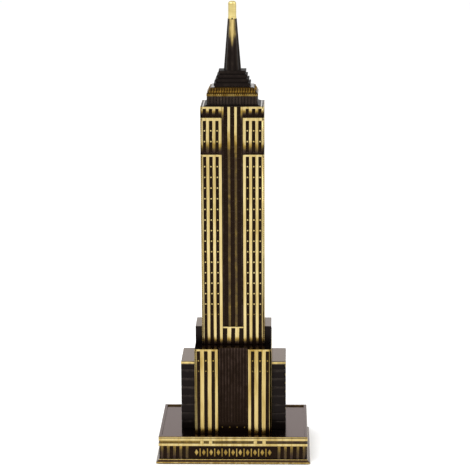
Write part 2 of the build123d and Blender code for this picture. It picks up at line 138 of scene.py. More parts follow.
WING_COURSES = 8
WING_SKIN = 0.22               # depth of the joints between ashlar blocks

BAND_SLOPE = 1.6
BAND_SLOPE_HEIGHT = 2.1
BAND_SKIN = 0.18               # depth of the band's embossing
BEAD_PITCH = 0.8
LEAF_PITCH = 1.0
STEP_COUNT = 4
STEP_SETBACK = 0.59
SKIRT_HEIGHT = 0.6             # sloped foot of the drum
DRUM_SKIN = 0.25               # depth of the drum's flutes
DRUM_FLUTE_PITCH = 1.2
MAST_FLUTES = 10
MAST_FLUTE_DEPTH = 0.22
SHOULDER_RADIUS = 1.8
TIP_ROUNDING = 1.0


# ---------------------------------------------------------------- materials

def hex_colour(text):
    """A hex colour as linear RGBA."""
    parts = [int(text[i:i + 2], 16) / 255 for i in (1, 3, 5)]
    linear = [c / 12.92 if c <= 0.04045 else ((c + 0.055) / 1.055) ** 2.4 for c in parts]
    return (*linear, 1.0)


def per_mm(size):
    """Texture scale whose features are about this many millimetres across."""
    return 1.0 / (size * MM)


def add(tree, kind, inputs=None, **settings):
    """One node with its settings, and a value or a link for each input."""
    item = tree.nodes.new(kind)
    for name, value in settings.items():
        setattr(item, name, value)
    for key, value in (inputs or {}).items():
        socket = item.inputs[key]
        if isinstance(value, bpy.types.NodeSocket):
            tree.links.new(value, socket)
        else:
            socket.default_value = value
    return item


def times(tree, a, b, plus=0.0):
    """a * b + plus."""
    return add(tree, "ShaderNodeMath", {0: a, 1: b, 2: plus}, operation="MULTIPLY_ADD").outputs[0]


def blank_material(name):
    """A material with only an output and a shader."""
    material = bpy.data.materials.new(name)
    material.use_nodes = True
    tree = material.node_tree
    tree.nodes.clear()
    shader = add(tree, "ShaderNodeBsdfPrincipled")
    add(tree, "ShaderNodeOutputMaterial", {"Surface": shader.outputs[0]})
    return material, tree, shader


def ramp(tree, factor, stops):
    """A colour ramp through (place, hex colour) stops."""
    item = add(tree, "ShaderNodeValToRGB", {"Fac": factor})
    elements = item.color_ramp.elements
    elements[0].position, elements[0].color = stops[0][0], hex_colour(stops[0][1])
    elements[1].position, elements[1].color = stops[-1][0], hex_colour(stops[-1][1])
    for place, text in stops[1:-1]:
        elements.new(place).color = hex_colour(text)
    return item.outputs["Color"]


def cast_brass(name, stops, top_colour, top_roughness=0.18, streak=0.35, roof_colour=None):
    """Zinc die casting, brass plated, blackened and then relieved on a wheel.

    The wheel gets only to the high spots: they come out pale gold with fine upright scratches, the steps below
    them stay brown, and recesses keep the near-black patina. Faces that look up were missed by the wheel and
    wear a thinner, browner patina; on the shaft's roof it is worn almost through to pale metal. The scratches
    are drawn coarser than a wheel leaves them, or they wouldn't show. The rubbing attribute that drives the gold
    also carries painted highlights: lighter upper edges on the wings' courses and bright marks up the right wing's
    outer edge.
    """
    material, tree, shader = blank_material(name)
    place = add(tree, "ShaderNodeTexCoord").outputs["Object"]
    depth = add(tree, "ShaderNodeAttribute", attribute_name="sink").outputs["Fac"]
    # The rubbing attribute read here is wheel wear, plus painted highlights on the wings' courses and outer edge.
    rub_and_painted_sheen = add(tree, "ShaderNodeAttribute", attribute_name="rub_and_painted_sheen").outputs["Fac"]
    mottle = add(tree, "ShaderNodeTexNoise", {"Vector": place, "Scale": per_mm(2.2), "Detail": 3.0,
                                               "Roughness": 0.6}).outputs["Fac"]
    columns = add(tree, "ShaderNodeMapping", {"Vector": place, "Scale": (1.0, 1.0, 0.09)}).outputs["Vector"]
    passes = add(tree, "ShaderNodeTexNoise", {"Vector": columns, "Scale": per_mm(1.5),
                                               "Detail": 2.0}).outputs["Fac"]
    stretched = add(tree, "ShaderNodeMapping", {"Vector": place, "Scale": (1.0, 1.0, 0.06)}).outputs["Vector"]
    scratches = add(tree, "ShaderNodeTexNoise", {"Vector": stretched, "Scale": per_mm(streak), "Detail": 4.0,
                                                  "Roughness": 0.75}).outputs["Fac"]
    near_top = add(tree, "ShaderNodeMapRange", {"Value": depth, "From Min": 0.02, "From Max": 0.3,
                                                 "To Min": 1.0, "To Max": 0.0},
                   interpolation_type="SMOOTHSTEP").outputs["Result"]
    wobble = times(tree, mottle, 0.5, -0.25)
    rub_and_painted_sheen = add(tree, "ShaderNodeMath", {0: wobble, 1: rub_and_painted_sheen}, operation="ADD").outputs[0]
    eased_rub_and_painted_sheen = add(tree, "ShaderNodeMapRange", {"Value": rub_and_painted_sheen, "From Min": 0.0, "From Max": 1.0},
                  interpolation_type="SMOOTHSTEP").outputs["Result"]
    facing = add(tree, "ShaderNodeSeparateXYZ",
                 {0: add(tree, "ShaderNodeNewGeometry").outputs["Normal"]}).outputs["Z"]
    upright = add(tree, "ShaderNodeMapRange", {"Value": facing, "From Min": 0.55, "From Max": 0.95,
                                                "To Min": 1.0, "To Max": 0.0}).outputs["Result"]
    rub_and_painted_sheen_level = times(tree, near_top, eased_rub_and_painted_sheen)
    rub_and_painted_sheen_level = times(tree, rub_and_painted_sheen_level, upright)
    strokes = times(tree, passes, 0.6, times(tree, scratches, 0.4))
    uneven = add(tree, "ShaderNodeMapRange", {"Value": strokes, "From Min": 0.38, "From Max": 0.6,
                                               "To Min": 0.75, "To Max": 0.98}).outputs["Result"]
    rub_and_painted_sheen_level = times(tree, rub_and_painted_sheen_level, uneven)
    colour = ramp(tree, rub_and_painted_sheen_level, stops)
    looks_up = add(tree, "ShaderNodeMapRange", {"Value": facing, "From Min": 0.7,
                                                 "From Max": 0.98}).outputs["Result"]
    level = add(tree, "ShaderNodeSeparateXYZ", {0: place}).outputs["Z"]
    on_roof = add(tree, "ShaderNodeMapRange", {"Value": level, "From Min": (SHAFT_TOP - 3.0) * MM,
                                                "From Max": (SHAFT_TOP - 1.0) * MM}).outputs["Result"]
    patina = add(tree, "ShaderNodeMix", {"Factor": on_roof, "A": hex_colour(top_colour),
                                          "B": hex_colour(roof_colour or top_colour)},
                 data_type="RGBA").outputs["Result"]
    plate = add(tree, "ShaderNodeMix", {"Factor": looks_up, "A": colour, "B": patina},
                data_type="RGBA").outputs["Result"]
    roughness = add(tree, "ShaderNodeMapRange", {"Value": looks_up, "To Min": 0.28,
                                                  "To Max": top_roughness}).outputs["Result"]
    grain = add(tree, "ShaderNodeBump", {"Height": scratches, "Strength": 0.12, "Distance": 0.02 * MM})
    tree.links.new(plate, shader.inputs["Base Color"])
    tree.links.new(roughness, shader.inputs["Roughness"])
    tree.links.new(grain.outputs["Normal"], shader.inputs["Normal"])
    shader.inputs["Metallic"].default_value = 1.0
    return material


def turned_brass():
    """Brass turned on a lathe and buffed: clean yellow metal with faint rings round the axis, drawn coarse."""
    material, tree, shader = blank_material("turned brass")
    place = add(tree, "ShaderNodeTexCoord").outputs["Object"]
    rings = add(tree, "ShaderNodeMapping", {"Vector": place, "Scale": (0.03, 0.03, 1.0)}).outputs["Vector"]
    lines = add(tree, "ShaderNodeTexNoise", {"Vector": rings, "Scale": per_mm(0.2), "Detail": 3.0}).outputs["Fac"]
    shade = ramp(tree, lines, [(0.3, "#BCA764"), (0.7, "#D5C689")])
    roughness = add(tree, "ShaderNodeMapRange", {"Value": lines, "To Min": 0.28, "To Max": 0.4})
    grain = add(tree, "ShaderNodeBump", {"Height": lines, "Strength": 0.1, "Distance": 0.01 * MM})
    tree.links.new(shade, shader.inputs["Base Color"])
    tree.links.new(roughness.outputs["Result"], shader.inputs["Roughness"])
    tree.links.new(grain.outputs["Normal"], shader.inputs["Normal"])
    shader.inputs["Metallic"].default_value = 1.0
    return material


def blackened_steel():
    """Steel pin with a chemical black: dark and slightly rough, with a faint grain."""
    material, tree, shader = blank_material("blackened steel")
    place = add(tree, "ShaderNodeTexCoord").outputs["Object"]
    grain = add(tree, "ShaderNodeTexNoise", {"Vector": place, "Scale": per_mm(0.3), "Detail": 2.0}).outputs["Fac"]
    tree.links.new(ramp(tree, grain, [(0.3, "#0C0A09"), (0.7, "#1A1715")]), shader.inputs["Base Color"])
    shader.inputs["Metallic"].default_value = 1.0
    shader.inputs["Roughness"].default_value = 0.45
    return material


def zinc_plate():
    """Zinc-plated steel hardware: pale grey with the soft mottle of passivated plating."""
    material, tree, shader = blank_material("zinc plated steel")
    place = add(tree, "ShaderNodeTexCoord").outputs["Object"]
    mottle = add(tree, "ShaderNodeTexNoise", {"Vector": place, "Scale": per_mm(1.2), "Detail": 2.0}).outputs["Fac"]
    roughness = add(tree, "ShaderNodeMapRange", {"Value": mottle, "To Min": 0.25, "To Max": 0.45})
    tree.links.new(ramp(tree, mottle, [(0.3, "#9EA0A2"), (0.7, "#B9BBBC")]), shader.inputs["Base Color"])
    tree.links.new(roughness.outputs["Result"], shader.inputs["Roughness"])
    shader.inputs["Metallic"].default_value = 1.0
    return material


def pressed_felt():
    """Pressed wool felt: matt black with a tangle of short fibres about a quarter of a millimetre apart."""
    material, tree, shader = blank_material("pressed black felt")
    place = add(tree, "ShaderNodeTexCoord").outputs["Object"]
    fibres = add(tree, "ShaderNodeTexNoise", {"Vector": place, "Scale": per_mm(0.25), "Detail": 5.0,
                                               "Roughness": 0.75, "Distortion": 1.2}).outputs["Fac"]
    nap = add(tree, "ShaderNodeBump", {"Height": fibres, "Strength": 0.6, "Distance": 0.15 * MM})
    tree.links.new(ramp(tree, fibres, [(0.3, "#0B0B0C"), (0.7, "#242426")]), shader.inputs["Base Color"])
    tree.links.new(nap.outputs["Normal"], shader.inputs["Normal"])
    shader.inputs["Roughness"].default_value = 0.95
    shader.inputs["Sheen Weight"].default_value = 0.3
    return material


def studio_paper():
    """Seamless white studio paper with a barely visible tooth."""
    material, tree, shader = blank_material("studio paper")
    place = add(tree, "ShaderNodeTexCoord").outputs["Object"]
    tooth = add(tree, "ShaderNodeTexNoise", {"Vector": place, "Scale": per_mm(4.0)}).outputs["Fac"]
    tree.links.new(ramp(tree, tooth, [(0.0, "#F4F4F4"), (1.0, "#F8F8F8")]), shader.inputs["Base Color"])
    shader.inputs["Roughness"].default_value = 0.9
    return material


# Four depths of the same finish: well rubbed, brushed brown, blackened with bright edges, and left sooty.
ANTIQUE = cast_brass("antique brass casting",
                     [(0.0, "#1F1610"), (0.14, "#382C26"), (0.34, "#57482A"), (0.62, "#94793A"), (0.8, "#BAA46A"),
                      (1.0, "#CEBC87")], top_colour="#50372F", roof_colour="#A59C92")
BROWNED = cast_brass("browned brass casting",
                     [(0.0, "#1E1406"), (0.4, "#443010"), (0.75, "#806226"), (1.0, "#B89C58")],
                     top_colour="#4A3A30", streak=0.6)
BRONZED = cast_brass("blackened bronze casting",
                     [(0.0, "#1B1716"), (0.3, "#463F3A"), (0.7, "#94804C"), (1.0, "#D2BA7A")],
                     top_colour="#624C39")
SOOTED = cast_brass("sooted bronze casting",
                    [(0.0, "#1C1715"), (0.3, "#38302A"), (0.7, "#94804C"), (1.0, "#D8BF7C")],
                    top_colour="#1C1715", top_roughness=0.6)
TIP_BRASS = turned_brass()
PIN_STEEL = blackened_steel()
ZINC = zinc_plate()
FELT = pressed_felt()
PAPER = studio_paper()


# ---------------------------------------------------------------- geometry nodes

def new_tree(name, sizes):
    """An empty geometry tree with named number inputs; returns it with its inputs and its output node."""
    tree = bpy.data.node_groups.new(name, "GeometryNodeTree")
    tree.is_modifier = True
    for label, kind in sizes:
        tree.interface.new_socket(label, in_out="INPUT", socket_type=kind)
    tree.interface.new_socket("Geometry", in_out="OUTPUT", socket_type="NodeSocketGeometry")
    given = tree.nodes.new("NodeGroupInput").outputs
    return tree, given, tree.nodes.new("NodeGroupOutput")


def end_tree(tree, geometry, finish, output):
    """Real geometry with its material, at the end of a tree."""
    real = add(tree, "GeometryNodeRealizeInstances", {"Geometry": geometry}).outputs[0]
    finished = add(tree, "GeometryNodeSetMaterial", {"Geometry": real, "Material": finish}).outputs[0]
    tree.links.new(finished, output.inputs[0])


def relief_grid_tree():
    """Rounded blocks in rows and columns on an upright face: pilasters, spandrels, ribs and courses.

    The face is at Y 0 and looks along -Y. Each block stands out by its relief and is rooted behind the face.
    """
    number, whole = "NodeSocketFloat", "NodeSocketInt"
    tree, given, output = new_tree("relief grid", [
        ("Columns", whole), ("Rows", whole), ("Column pitch", number), ("Row pitch", number),
        ("Width", number), ("Height", number), ("Relief", number), ("Root", number),
        ("Rounding", number), ("Finish", "NodeSocketMaterial")])
    spread_x = times(tree, given["Column pitch"], given["Columns"])
    spread_x = add(tree, "ShaderNodeMath", {0: spread_x, 1: given["Column pitch"]},
                   operation="SUBTRACT").outputs[0]
    spread_z = times(tree, given["Row pitch"], given["Rows"])
    spread_z = add(tree, "ShaderNodeMath", {0: spread_z, 1: given["Row pitch"]}, operation="SUBTRACT").outputs[0]
    places = add(tree, "GeometryNodeMeshGrid", {"Size X": spread_x, "Size Y": spread_z,
                                                 "Vertices X": given["Columns"],
                                                 "Vertices Y": given["Rows"]}).outputs["Mesh"]
    upright = add(tree, "GeometryNodeTransform", {"Geometry": places,
                                                   "Rotation": (math.radians(90), 0, 0)}).outputs[0]
    thickness = add(tree, "ShaderNodeMath", {0: given["Relief"], 1: given["Root"]}, operation="ADD").outputs[0]
    size = add(tree, "ShaderNodeCombineXYZ", {"X": given["Width"], "Y": thickness,
                                               "Z": given["Height"]}).outputs[0]
    cube = add(tree, "GeometryNodeMeshCube", {"Size": size}).outputs["Mesh"]
    middle = add(tree, "ShaderNodeMath", {0: given["Root"], 1: given["Relief"]}, operation="SUBTRACT").outputs[0]
    middle = times(tree, middle, 0.5)
    shift = add(tree, "ShaderNodeCombineXYZ", {"Y": middle}).outputs[0]
    seated = add(tree, "GeometryNodeTransform", {"Geometry": cube, "Translation": shift}).outputs[0]
    height_in = add(tree, "ShaderNodeSeparateXYZ",
                    {0: add(tree, "GeometryNodeInputPosition").outputs[0]}).outputs["Y"]
    in_front = add(tree, "FunctionNodeCompare", {0: height_in, 1: middle}, data_type="FLOAT",
                   operation="LESS_THAN").outputs[0]
    weighted = add(tree, "GeometryNodeStoreNamedAttribute",
                   {"Geometry": seated, "Selection": in_front, "Name": "bevel_weight_edge",
                    "Value": given["Rounding"]}, data_type="FLOAT", domain="EDGE").outputs[0]
    blocks = add(tree, "GeometryNodeInstanceOnPoints", {"Points": upright, "Instance": weighted}).outputs[0]
    end_tree(tree, blocks, given["Finish"], output)
    return tree


def fluted_cone_tree():
    """A tapered mast with flutes that run from foot to shoulder; the first crest faces -Y."""
    number, whole = "NodeSocketFloat", "NodeSocketInt"
    tree, given, output = new_tree("fluted cone", [
        ("Foot radius", number), ("Shoulder radius", number), ("Height", number), ("Flutes", whole),
        ("Flute depth", number), ("Finish", "NodeSocketMaterial")])
    sides = add(tree, "ShaderNodeMath", {0: given["Flutes"], 1: 12.0}, operation="MULTIPLY").outputs[0]
    tube = add(tree, "GeometryNodeMeshCylinder", {"Vertices": sides, "Side Segments": 14, "Radius": 1.0,
                                                   "Depth": given["Height"]}, fill_type="NGON").outputs["Mesh"]
    split = add(tree, "ShaderNodeSeparateXYZ", {0: add(tree, "GeometryNodeInputPosition").outputs[0]})
    up = add(tree, "ShaderNodeMath", {0: split.outputs["Z"], 1: given["Height"]}, operation="DIVIDE").outputs[0]
    up = add(tree, "ShaderNodeMath", {0: up, 1: 0.5}, operation="ADD").outputs[0]
    radius = add(tree, "ShaderNodeMix", {"Factor": up, "A": given["Foot radius"],
                                          "B": given["Shoulder radius"]}, data_type="FLOAT").outputs["Result"]
    backwards = add(tree, "ShaderNodeMath", {0: split.outputs["Y"], 1: -1.0}, operation="MULTIPLY").outputs[0]
    angle = add(tree, "ShaderNodeMath", {0: split.outputs["X"], 1: backwards}, operation="ARCTAN2").outputs[0]
    turns = add(tree, "ShaderNodeMath", {0: angle, 1: given["Flutes"]}, operation="MULTIPLY").outputs[0]
    wave = add(tree, "ShaderNodeMath", {0: turns}, operation="COSINE").outputs[0]
    wave = times(tree, wave, -0.5, 0.5)
    scoop = add(tree, "ShaderNodeMath", {0: wave, 1: 0.7}, operation="POWER").outputs[0]
    cut = add(tree, "ShaderNodeMath", {0: scoop, 1: given["Flute depth"]}, operation="MULTIPLY").outputs[0]
    radius = add(tree, "ShaderNodeMath", {0: radius, 1: cut}, operation="SUBTRACT").outputs[0]
    wide = add(tree, "ShaderNodeCombineXYZ", {"X": radius, "Y": radius, "Z": 1.0}).outputs[0]
    placed = add(tree, "ShaderNodeVectorMath", {0: add(tree, "GeometryNodeInputPosition").outputs[0], 1: wide},
                 operation="MULTIPLY").outputs[0]
    shaped = add(tree, "GeometryNodeSetPosition", {"Geometry": tube, "Position": placed}).outputs[0]
    end_tree(tree, shaped, given["Finish"], output)
    return tree


RELIEF = relief_grid_tree()
CONE = fluted_cone_tree()


def grow(tree, **sizes):
    """The plain mesh that a tree makes; a size's name is its input's, with _ for spaces."""
    holder = bpy.data.objects.new("holder", bpy.data.meshes.new("holder"))
    bpy.context.collection.objects.link(holder)
    modifier = holder.modifiers.new("grow", "NODES")
    modifier.node_group = tree
    for item in tree.interface.items_tree:
        key = item.name.lower().replace(" ", "_")
        if item.in_out == "INPUT" and key in sizes:
            modifier[item.identifier] = sizes[key]
    evaluated = holder.evaluated_get(bpy.context.evaluated_depsgraph_get())
    mesh = bpy.data.meshes.new_from_object(evaluated)
    bpy.data.objects.remove(holder)
    return mesh


# ---------------------------------------------------------------- building blocks

def face_matrix(turn, distance, along=0.0, level=0.0):
    """Carries a face at Y 0 to a distance from the centre; turn 0 is the front, 90 the right flank."""
    return (Matrix.Rotation(math.radians(turn), 4, "Z")
            @ Matrix.Translation((along, -distance, level)))


def relief(turn, distance, along, level, width, height, stands, finish=ANTIQUE, columns=1, rows=1,
           column_pitch=1.0, row_pitch=1.0, rounding=0.4, root=ROOT):
    """A grid of rounded blocks centred at a place on one of the four faces."""
    mesh = grow(RELIEF, columns=columns, rows=rows, column_pitch=column_pitch, row_pitch=row_pitch,
                width=width, height=height, relief=stands, root=root, rounding=rounding, finish=finish)
    mesh.transform(face_matrix(turn, distance, along, level))
    return mesh


def solid(loops, finish=ANTIQUE, rounding=0.3):
    """A closed casting through rings of points; each ring runs anticlockwise seen from the last one's end."""
    count = len(loops[0])
    points = [point for loop in loops for point in loop]
    faces = [tuple(reversed(range(count)))]
    for i in range(len(loops) - 1):
        first, second = i * count, (i + 1) * count
        for j in range(count):
            k = (j + 1) % count
            faces.append((first + j, first + k, second + k, second + j))
    last = (len(loops) - 1) * count
    faces.append(tuple(range(last, last + count)))
    mesh = bpy.data.meshes.new("solid")
    mesh.from_pydata(points, [], faces)
    mesh.materials.append(finish)
    weights = mesh.attributes.new("bevel_weight_edge", "FLOAT", "EDGE")
    weights.data.foreach_set("value", [rounding] * len(mesh.edges))
    return mesh


def ring(half_x, half_y, z, x=0.0, y=0.0):
    """The four corners of a rectangle at one level."""
    return [(x - half_x, y - half_y, z), (x + half_x, y - half_y, z),
            (x + half_x, y + half_y, z), (x - half_x, y + half_y, z)]


def tower(profile, x=0.0, y=0.0, finish=ANTIQUE, rounding=0.3):
    """A rectangular casting from (half width, half depth, level) steps."""
    return solid([ring(half_x, half_y, z, x, y) for half_x, half_y, z in profile], finish, rounding)


def prism(outline, bottom, top, finish=ANTIQUE, rounding=0.3):
    """A casting with one plan from bottom to top."""
    return solid([[(x, y, z) for x, y in outline] for z in (bottom, top)], finish, rounding)


def turned(profile, finish, sides=48):
    """A closed round piece from (radius, level) steps."""
    angles = [2 * math.pi * i / sides for i in range(sides)]
    loops = [[(r * math.cos(a), r * math.sin(a), z) for a in angles] for r, z in profile]
    return solid(loops, finish, rounding=0.0)


def four_faces(half_x, half_y):
    """Turn, half length and distance from the centre of a block's front, right, rear and left faces."""
    return (0, half_x, half_y), (90, half_y, half_x), (180, half_x, half_y), (270, half_y, half_x)


def rub(mesh, sinks, rub_and_painted_sheen_values):
    """Stores how far each point lies below the polished faces, and how bright the rubbing makes it, painted
    highlights included where a caller adds them.
    """
    for label, values in (("sink", sinks), ("rub_and_painted_sheen", rub_and_painted_sheen_values)):
        mesh.attributes.new(label, "FLOAT", "POINT").data.foreach_set("value", values)


def mark(meshes, front, flank, dark, bright):
    """Marks meshes by their depth below two faces, and by height from a level where they stay dark to one where
    they are fully bright.
    """
    for mesh in meshes:
        rub(mesh, [min(front - abs(v.co.y), flank - abs(v.co.x)) for v in mesh.vertices],
            [(v.co.z - dark) / (bright - dark) for v in mesh.vertices])
    return meshes


def piece(name, meshes, nodes, edge=0.3, mirror_y=False, mirror_x=False, smooth=False):
    """Joins meshes into one finished piece that stands for its CAD nodes."""
    objects = []
    for mesh in meshes:
        item = bpy.data.objects.new(name, mesh)
        bpy.context.collection.objects.link(item)
        objects.append(item)
    with bpy.context.temp_override(active_object=objects[0], selected_editable_objects=objects):
        bpy.ops.object.join()
    whole = objects[0]
    whole.name = name
    for polygon in whole.data.polygons:
        polygon.use_smooth = True
    if edge:
        bevel = whole.modifiers.new("edge", "BEVEL")
        bevel.limit_method = "WEIGHT"
        bevel.width = edge
        bevel.segments = 2
        bevel.harden_normals = not smooth
    evaluated = whole.evaluated_get(bpy.context.evaluated_depsgraph_get())
    finished = bpy.data.meshes.new_from_object(evaluated)
    finished.name = name
    whole.modifiers.clear()
    whole.data = finished
    if smooth:
        finished.set_sharp_from_angle(angle=math.radians(35))
    flips = Matrix.Diagonal((-1.0 if mirror_x else 1.0, -1.0 if mirror_y else 1.0, 1.0, 1.0))
    finished.transform(Matrix.Scale(MM, 4) @ flips)
    if mirror_x != mirror_y:
        finished.flip_normals()
    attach(whole, BODY)
    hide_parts(*nodes)
    return whole


# ---------------------------------------------------------------- plinth

def lozenge(turn, distance, along, level):
    """A raised lozenge with a bevelled face."""
    def outline(share, y):
        return [(share * LOZENGE_WIDTH / 2, y, 0), (0, y, share * ORNAMENT_HEIGHT / 2),
                (-share * LOZENGE_WIDTH / 2, y, 0), (0, y, -share * ORNAMENT_HEIGHT / 2)]
    mesh = solid([outline(1.0, ROOT), outline(1.0, -ORNAMENT_RELIEF * 0.6), outline(0.7, -ORNAMENT_RELIEF)],
                 rounding=0.0)
    mesh.transform(face_matrix(turn, distance, along, level))
    return mesh


def make_plinth():
    """Rimmed tray over a groove, a strip, a ribbed frieze and a flared foot; hollow underneath."""
    half_x = plinth_high.x - FOOT_FLARE
    half_y = plinth_high.y - FOOT_FLARE
    bottom, top = plinth_low.z, plinth_high.z
    wall_x, wall_y = half_x - SKIRT_WALL, half_y - SKIRT_WALL
    rebate_x, rebate_y = felt_high.x + FELT_GAP, felt_high.y + FELT_GAP
    profile = [(wall_x, wall_y, TRAY - DECK), (wall_x, wall_y, plate_high.z),
               (rebate_x, rebate_y, plate_high.z), (rebate_x, rebate_y, bottom)]
    foot_edge = bottom + FOOT_EDGE
    for out, z in ((FOOT_FLARE, bottom), (FOOT_FLARE, foot_edge), (0.0, foot_edge + FOOT_SLOPE),
                   (0.0, FOOT_TOP), (-FRIEZE_DEPTH, FOOT_TOP), (-FRIEZE_DEPTH, FRIEZE_TOP), (0.0, FRIEZE_TOP),
                   (0.0, STRIP_TOP), (-GROOVE_DEPTH, STRIP_TOP), (-GROOVE_DEPTH, GROOVE_TOP), (0.0, GROOVE_TOP),
                   (0.0, top - 0.75), (-RIM_LINE, top - 0.65), (-RIM_LINE, top - 0.55), (0.0, top - 0.45),
                   (0.0, top - RIM_EASE), (-RIM_EASE, top), (-RIM_WIDTH, top), (-RIM_WIDTH, TRAY)):
        profile.append((half_x + out, half_y + out, z))
    body = tower(profile)
    bands = [body]
    ribs, ornaments = [], []
    frieze_middle = (FOOT_TOP + FRIEZE_TOP) / 2
    frieze_height = FRIEZE_TOP - FOOT_TOP
    for turn, length, distance in four_faces(half_x, half_y):
        face = distance - FRIEZE_DEPTH
        end = length - FRIEZE_DEPTH - RIB_WIDTH / 2
        centre = end - RIB_PITCH * (RIB_COUNT - 1) / 2
        for side in (-1, 1):
            ribs.append(relief(turn, face, side * centre, frieze_middle, RIB_WIDTH, frieze_height, RIB_RELIEF,
                               columns=RIB_COUNT, column_pitch=RIB_PITCH, rounding=1.0))
        free = 2 * (end - RIB_PITCH * RIB_COUNT) - LOZENGE_WIDTH
        count = 1 + 2 * int(free / ORNAMENT_PITCH / 2)
        for i in range(count):
            ornaments.append(lozenge(turn, face, (i - (count - 1) / 2) * ORNAMENT_PITCH, frieze_middle))
        ornaments.append(relief(turn, face, 0.0, frieze_middle, BAR_WIDTH, ORNAMENT_HEIGHT, ORNAMENT_RELIEF,
                                columns=count - 1, column_pitch=ORNAMENT_PITCH, rounding=0.3))
    groove_middle = (STRIP_TOP + GROOVE_TOP) / 2
    pavilion_centre = podium_high.x - PAVILION_WIDTH / 2
    for turn in (0, 180):
        for side in (-1, 1):
            bands.append(relief(turn, half_y - GROOVE_DEPTH, side * pavilion_centre, groove_middle, TAB_WIDTH,
                                GROOVE_TOP - STRIP_TOP, GROOVE_DEPTH, columns=2, column_pitch=TAB_SPREAD,
                                rounding=0.3))
    meshes = (mark(bands, half_y + 0.06, half_x + 0.06, dark=-3.2, bright=2.6)
              + mark(ribs, half_y - 0.12, half_x - 0.12, dark=-1.5, bright=FRIEZE_TOP + 6.0)
              + mark(ornaments, half_y - 0.14, half_x - 0.14, dark=-6.0, bright=FRIEZE_TOP - 1.0))
    # The groove and the rim's inner side are browner than the recesses, and the groove is lighter at its left end
    # than at its right.
    near = 0.01
    sinks, rub_and_painted_sheen_values = (body.attributes[name].data for name in ("sink", "rub_and_painted_sheen"))
    for vertex in body.vertices:
        x, z = vertex.co.x, vertex.co.z
        if STRIP_TOP - near < z < GROOVE_TOP + near and abs(x) < half_x - GROOVE_DEPTH + near:
            sinks[vertex.index].value, rub_and_painted_sheen_values[vertex.index].value = 0.1, GROOVE_BRIGHTNESS[x > 0]
        if z > TRAY - near and wall_x < abs(x) < half_x - RIM_WIDTH + near:
            sinks[vertex.index].value, rub_and_painted_sheen_values[vertex.index].value = 0.1, 0.4 if z < TRAY + near else 0.75
    return piece("plinth", meshes, ["plinth"])


# ---------------------------------------------------------------- window walls

def window_wall(turn, distance, inner, outer, border, bay, columns, bottom, top, spandrels, flip=1, toothed=False,
                lintel=LINTEL):
    """Border, pilasters, a lintel and spandrels between two places on a face, counted from the outer corner.

    Spandrels come in runs of (row count, how far the small block on each lies below the pilasters). A toothed
    border has a row of small blocks up its outer side.
    """
    meshes = []
    tall = top - bottom
    middle = (top + bottom) / 2
    core = distance - WINDOW_DEPTH
    outermost = outer - border - WINDOW_WIDTH / 2
    innermost = outermost - (columns - 1) * bay
    inner_border = innermost - WINDOW_WIDTH / 2 - inner
    if toothed:
        solid_part = border * 0.5
        meshes.append(relief(turn, core, flip * (outer - border + solid_part / 2), middle, solid_part, tall,
                             WINDOW_DEPTH, rounding=0.3))
        side = flip * (outer - (border - solid_part) / 2)
        meshes.append(relief(turn, core, side, middle, border - solid_part, tall, WINDOW_DEPTH - TOOTH_RELIEF))
        teeth = int(tall / TOOTH_PITCH)
        meshes.append(relief(turn, distance - TOOTH_RELIEF, side, middle, border - solid_part,
                             TOOTH_PITCH * 0.5, TOOTH_RELIEF, rows=teeth, row_pitch=TOOTH_PITCH,
                             rounding=0.2, root=0.1))
    else:
        meshes.append(relief(turn, core, flip * (outer - border / 2), middle, border, tall, WINDOW_DEPTH,
                             rounding=0.45))
    meshes.append(relief(turn, core, flip * (inner + inner_border / 2), middle, inner_border, tall,
                         WINDOW_DEPTH, rounding=0.45))
    meshes.append(relief(turn, core, flip * (outermost + innermost) / 2, middle, bay - WINDOW_WIDTH, tall,
                         WINDOW_DEPTH, columns=columns - 1, column_pitch=bay, rounding=1.0))
    meshes.append(relief(turn, core, flip * (inner + outer) / 2, top - lintel / 2, outer - inner, lintel,
                         WINDOW_DEPTH - 0.03, rounding=0.3))
    spandrel = FLOOR_PITCH - WINDOW_HEIGHT
    level = top - lintel - WINDOW_HEIGHT - spandrel / 2
    for rows, drop in spandrels:
        for width, height, sunk in ((WINDOW_WIDTH + 0.1, spandrel, 0.3), (0.6, 0.5, drop)):
            meshes.append(relief(turn, core, flip * (outermost + innermost) / 2,
                                 level - (rows - 1) * FLOOR_PITCH / 2, width, height, WINDOW_DEPTH - sunk,
                                 columns=columns, rows=rows, column_pitch=bay, row_pitch=FLOOR_PITCH,
                                 rounding=0.3))
        level -= rows * FLOOR_PITCH
    return meshes


